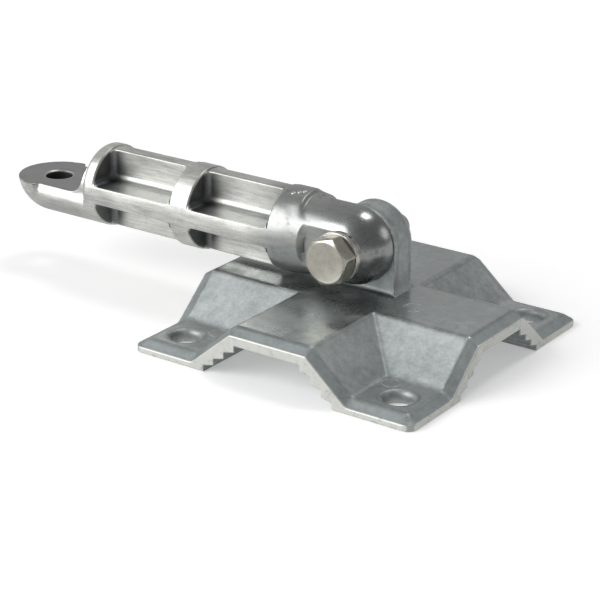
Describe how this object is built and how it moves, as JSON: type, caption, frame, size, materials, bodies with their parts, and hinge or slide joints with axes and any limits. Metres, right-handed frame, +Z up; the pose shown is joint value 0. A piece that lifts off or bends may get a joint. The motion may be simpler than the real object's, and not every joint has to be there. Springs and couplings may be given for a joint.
{
  "type": "hinged saddle foot with tie eye",
  "caption": "Square die-cast saddle base with toothed pole channels and screw holes, and a ribbed arm with a tie eye that tilts on one bolted ear.",
  "frame": {"origin": "centre of the square base at ground level, midway between the four screw holes", "axes": "+Z up out of the base, the arm at rest points to -X, the hinge axis is parallel to Y with the bolt head on the -Y side"},
  "size_m": [0.1764, 0.095, 0.0423],
  "materials": {
    "base_casting": "matt tumbled die-casting, bluish grey",
    "arm_casting": "bright tumbled die-casting, satin, glossier on the ball end",
    "stainless": "stainless steel, slightly warm",
    "nylon": "natural nylon"
  },
  "bodies": {
    "foot": {"saddle_base": "base_casting", "hinge_bolt": "stainless", "head_washer": "stainless", "spring_washer": "stainless", "nut_washer": "stainless", "lock_nut": "stainless", "lock_ring": "nylon"},
    "arm": {"tie_arm": "arm_casting"}
  },
  "joints": [
    {"name": "arm_tilt", "type": "hinge", "parent": "foot", "child": "arm", "pos_m": [0, 0, 0.0293], "axis": [0, 1, 0], "range_deg": [0, 180]}
  ]
}
